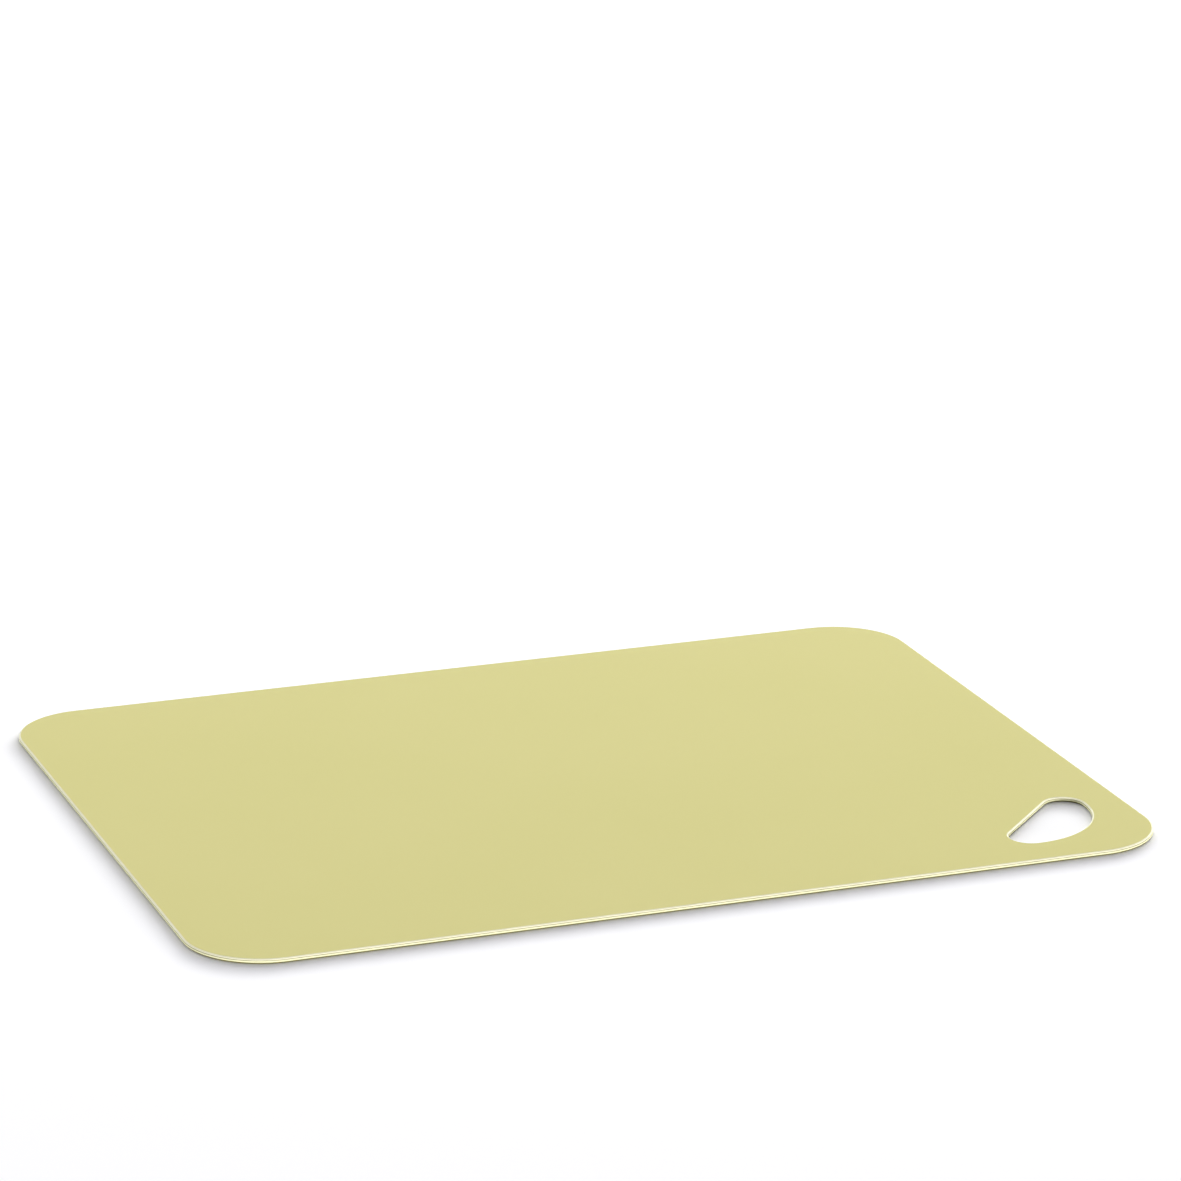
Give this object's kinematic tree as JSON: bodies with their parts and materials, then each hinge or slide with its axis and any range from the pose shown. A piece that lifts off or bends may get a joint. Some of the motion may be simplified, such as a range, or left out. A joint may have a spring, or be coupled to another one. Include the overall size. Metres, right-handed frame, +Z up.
{
  "type": "flexible cutting mat",
  "caption": "Thin flexible kitchen cutting mat with rounded corners, softened edges and a D-shaped grip and hanging opening in one corner.",
  "frame": {"origin": "middle of the underside, on the surface that the mat lies on", "axes": "+X along the length to the right, +Y across the width to the back, +Z up out of the cutting face; the grip opening is in the front right corner"},
  "size_m": [0.38, 0.29, 0.002],
  "materials": {
    "mat_plastic": "matt moulded plastic in pale yellow-green, with a very fine grain on the face and a softened edge"
  },
  "bodies": {
    "root": {"cutting_mat": "mat_plastic"}
  },
  "joints": []
}
